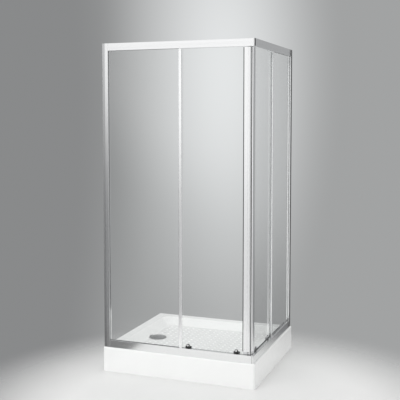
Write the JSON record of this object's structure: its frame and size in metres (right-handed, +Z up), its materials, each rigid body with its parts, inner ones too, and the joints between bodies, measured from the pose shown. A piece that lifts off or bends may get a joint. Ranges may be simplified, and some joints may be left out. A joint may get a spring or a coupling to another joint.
{
  "type": "corner shower enclosure",
  "caption": "Corner-entry shower enclosure: sliding glass doors that meet at the corner, fixed panes, bright aluminium rails and jambs, and a raised white tray with a drain.",
  "frame": {"origin": "middle of the tray's footprint, on the floor", "axes": "+X along the front from the left wall to the near corner, +Y from the front to the rear wall, +Z up"},
  "size_m": [1, 0.9, 2.075],
  "materials": {
    "white_acrylic": "glossy white acrylic, moulded",
    "board": "bonded wood board",
    "foot_plastic": "moulded black plastic",
    "zinc_steel": "zinc-plated steel",
    "drain_metal": "satin chrome",
    "drain_plastic": "moulded light grey plastic",
    "rubber": "black rubber",
    "polished_aluminium": "bright anodised aluminium",
    "corner_plastic": "metallised grey plastic",
    "grey_plastic": "moulded light grey plastic",
    "clear_glass": "clear tempered glass with a faint green edge",
    "gasket": "grey glazing rubber",
    "clear_seal": "translucent white soft plastic",
    "roller_metal": "bright chrome",
    "wheel_plastic": "black nylon"
  },
  "bodies": {
    "frame": {"shower_tray": "white_acrylic", "tray_base_board": "board", "tray_foot_pads": "foot_plastic", "tray_foot_studs": "zinc_steel", "tray_foot_nuts": "zinc_steel", "drain_cover": "drain_metal", "drain_flange": "drain_plastic", "drain_seal": "rubber", "drain_trap": "drain_plastic", "bottom_corner_connector": "corner_plastic", "top_corner_connector": "corner_plastic", "wall_channel_left": "polished_aluminium", "wall_channel_rear": "polished_aluminium", "jamb_profile_left": "polished_aluminium", "jamb_profile_rear": "polished_aluminium", "rail_covers": "polished_aluminium", "frame_screws": "zinc_steel", "rail_screws": "zinc_steel", "door_stops": "rubber", "bottom_rail_front": "polished_aluminium", "top_rail_front": "polished_aluminium", "fixed_glass_front": "clear_glass", "glazing_gaskets": "gasket", "fixed_edge_profile_front": "polished_aluminium", "bottom_rail_side": "polished_aluminium", "top_rail_side": "polished_aluminium", "fixed_glass_side": "clear_glass", "fixed_edge_profile_side": "polished_aluminium"},
    "front_door": {"front_door_glass": "clear_glass", "front_door_stile": "polished_aluminium", "front_door_stile_cap": "grey_plastic", "front_door_magnetic_seal": "clear_seal", "front_door_trailing_profile": "polished_aluminium", "front_door_wiper_seal": "clear_seal", "front_door_roller_brackets": "roller_metal", "front_door_roller_bolts": "roller_metal"},
    "side_door": {"side_door_glass": "clear_glass", "side_door_stile": "polished_aluminium", "side_door_stile_cap": "grey_plastic", "side_door_magnetic_seal": "clear_seal", "side_door_trailing_profile": "polished_aluminium", "side_door_wiper_seal": "clear_seal", "side_door_roller_brackets": "roller_metal", "side_door_roller_bolts": "roller_metal"},
    "front_wheel_bottom_1": {"front_wheel_bottom_1": "wheel_plastic"},
    "front_wheel_bottom_2": {"front_wheel_bottom_2": "wheel_plastic"},
    "front_wheel_bottom_3": {"front_wheel_bottom_3": "wheel_plastic"},
    "front_wheel_bottom_4": {"front_wheel_bottom_4": "wheel_plastic"},
    "front_wheel_top_1": {"front_wheel_top_1": "wheel_plastic"},
    "front_wheel_top_2": {"front_wheel_top_2": "wheel_plastic"},
    "front_wheel_top_3": {"front_wheel_top_3": "wheel_plastic"},
    "front_wheel_top_4": {"front_wheel_top_4": "wheel_plastic"},
    "side_wheel_bottom_1": {"side_wheel_bottom_1": "wheel_plastic"},
    "side_wheel_bottom_2": {"side_wheel_bottom_2": "wheel_plastic"},
    "side_wheel_bottom_3": {"side_wheel_bottom_3": "wheel_plastic"},
    "side_wheel_bottom_4": {"side_wheel_bottom_4": "wheel_plastic"},
    "side_wheel_top_1": {"side_wheel_top_1": "wheel_plastic"},
    "side_wheel_top_2": {"side_wheel_top_2": "wheel_plastic"},
    "side_wheel_top_3": {"side_wheel_top_3": "wheel_plastic"},
    "side_wheel_top_4": {"side_wheel_top_4": "wheel_plastic"}
  },
  "joints": [
    {"name": "front_door_slide", "type": "slide", "parent": "frame", "child": "front_door", "axis": [-1, 0, 0], "range_m": [0, 0.38]},
    {"name": "front_wheel_bottom_1_spin", "type": "hinge", "parent": "front_door", "child": "front_wheel_bottom_1", "pos_m": [0.3895, -0.408, 0.2038], "axis": [0, 1, 0], "continuous": true},
    {"name": "front_wheel_bottom_2_spin", "type": "hinge", "parent": "front_door", "child": "front_wheel_bottom_2", "pos_m": [0.3645, -0.408, 0.2038], "axis": [0, 1, 0], "continuous": true},
    {"name": "front_wheel_bottom_3_spin", "type": "hinge", "parent": "front_door", "child": "front_wheel_bottom_3", "pos_m": [0.0775, -0.408, 0.2038], "axis": [0, 1, 0], "continuous": true},
    {"name": "front_wheel_bottom_4_spin", "type": "hinge", "parent": "front_door", "child": "front_wheel_bottom_4", "pos_m": [0.0525, -0.408, 0.2038], "axis": [0, 1, 0], "continuous": true},
    {"name": "front_wheel_top_1_spin", "type": "hinge", "parent": "front_door", "child": "front_wheel_top_1", "pos_m": [0.3895, -0.408, 2.0632], "axis": [0, 1, 0], "continuous": true},
    {"name": "front_wheel_top_2_spin", "type": "hinge", "parent": "front_door", "child": "front_wheel_top_2", "pos_m": [0.3645, -0.408, 2.0632], "axis": [0, 1, 0], "continuous": true},
    {"name": "front_wheel_top_3_spin", "type": "hinge", "parent": "front_door", "child": "front_wheel_top_3", "pos_m": [0.0775, -0.408, 2.0632], "axis": [0, 1, 0], "continuous": true},
    {"name": "front_wheel_top_4_spin", "type": "hinge", "parent": "front_door", "child": "front_wheel_top_4", "pos_m": [0.0525, -0.408, 2.0632], "axis": [0, 1, 0], "continuous": true},
    {"name": "side_door_slide", "type": "slide", "parent": "frame", "child": "side_door", "axis": [0, 1, 0], "range_m": [0, 0.343]},
    {"name": "side_wheel_bottom_1_spin", "type": "hinge", "parent": "side_door", "child": "side_wheel_bottom_1", "pos_m": [0.458, -0.3295, 0.2038], "axis": [1, 0, 0], "continuous": true},
    {"name": "side_wheel_bottom_2_spin", "type": "hinge", "parent": "side_door", "child": "side_wheel_bottom_2", "pos_m": [0.458, -0.3045, 0.2038], "axis": [1, 0, 0], "continuous": true},
    {"name": "side_wheel_bottom_3_spin", "type": "hinge", "parent": "side_door", "child": "side_wheel_bottom_3", "pos_m": [0.458, -0.0645, 0.2038], "axis": [1, 0, 0], "continuous": true},
    {"name": "side_wheel_bottom_4_spin", "type": "hinge", "parent": "side_door", "child": "side_wheel_bottom_4", "pos_m": [0.458, -0.0395, 0.2038], "axis": [1, 0, 0], "continuous": true},
    {"name": "side_wheel_top_1_spin", "type": "hinge", "parent": "side_door", "child": "side_wheel_top_1", "pos_m": [0.458, -0.3295, 2.0632], "axis": [1, 0, 0], "continuous": true},
    {"name": "side_wheel_top_2_spin", "type": "hinge", "parent": "side_door", "child": "side_wheel_top_2", "pos_m": [0.458, -0.3045, 2.0632], "axis": [1, 0, 0], "continuous": true},
    {"name": "side_wheel_top_3_spin", "type": "hinge", "parent": "side_door", "child": "side_wheel_top_3", "pos_m": [0.458, -0.0645, 2.0632], "axis": [1, 0, 0], "continuous": true},
    {"name": "side_wheel_top_4_spin", "type": "hinge", "parent": "side_door", "child": "side_wheel_top_4", "pos_m": [0.458, -0.0395, 2.0632], "axis": [1, 0, 0], "continuous": true}
  ],
  "couplings": [
    {"joint": "front_wheel_bottom_1_spin", "follows": "front_door_slide", "rad_per_m": -181.82},
    {"joint": "front_wheel_bottom_2_spin", "follows": "front_door_slide", "rad_per_m": -181.82},
    {"joint": "front_wheel_bottom_3_spin", "follows": "front_door_slide", "rad_per_m": -181.82},
    {"joint": "front_wheel_bottom_4_spin", "follows": "front_door_slide", "rad_per_m": -181.82},
    {"joint": "front_wheel_top_1_spin", "follows": "front_door_slide", "rad_per_m": 181.82},
    {"joint": "front_wheel_top_2_spin", "follows": "front_door_slide", "rad_per_m": 181.82},
    {"joint": "front_wheel_top_3_spin", "follows": "front_door_slide", "rad_per_m": 181.82},
    {"joint": "front_wheel_top_4_spin", "follows": "front_door_slide", "rad_per_m": 181.82},
    {"joint": "side_wheel_bottom_1_spin", "follows": "side_door_slide", "rad_per_m": -181.82},
    {"joint": "side_wheel_bottom_2_spin", "follows": "side_door_slide", "rad_per_m": -181.82},
    {"joint": "side_wheel_bottom_3_spin", "follows": "side_door_slide", "rad_per_m": -181.82},
    {"joint": "side_wheel_bottom_4_spin", "follows": "side_door_slide", "rad_per_m": -181.82},
    {"joint": "side_wheel_top_1_spin", "follows": "side_door_slide", "rad_per_m": 181.82},
    {"joint": "side_wheel_top_2_spin", "follows": "side_door_slide", "rad_per_m": 181.82},
    {"joint": "side_wheel_top_3_spin", "follows": "side_door_slide", "rad_per_m": 181.82},
    {"joint": "side_wheel_top_4_spin", "follows": "side_door_slide", "rad_per_m": 181.82}
  ]
}
